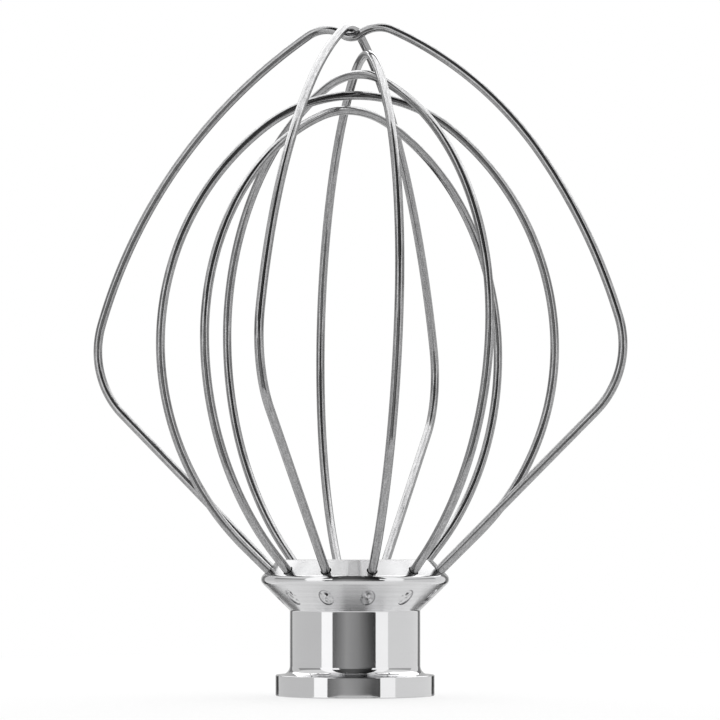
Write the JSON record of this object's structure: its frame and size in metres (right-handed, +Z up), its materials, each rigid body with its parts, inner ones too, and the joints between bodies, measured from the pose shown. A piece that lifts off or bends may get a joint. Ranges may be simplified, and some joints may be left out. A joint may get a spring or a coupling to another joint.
{
  "type": "stand mixer wire whisk",
  "caption": "Whisk head for a stand mixer: looped steel wires staked round a turned hub, whose blind bore and pin pocket lock onto the drive spindle.",
  "frame": {"origin": "centre of the hub's base face, on the drive spindle's axis", "axes": "+Z up along the spindle's axis from the base to the wires' crossing; the notched outer wire lies in the XZ plane and the other outer wire in the YZ plane"},
  "size_m": [0.1211, 0.117, 0.1446],
  "materials": {
    "hub": "turned and mirror polished",
    "wire": "drawn wire, satin"
  },
  "bodies": {
    "root": {"hub": "hub", "outer_wire_under": "wire", "outer_wire_over": "wire", "inner_wire_mid": "wire", "inner_wire_low": "wire", "inner_wire_tall": "wire", "inner_wire_high": "wire"}
  },
  "joints": []
}
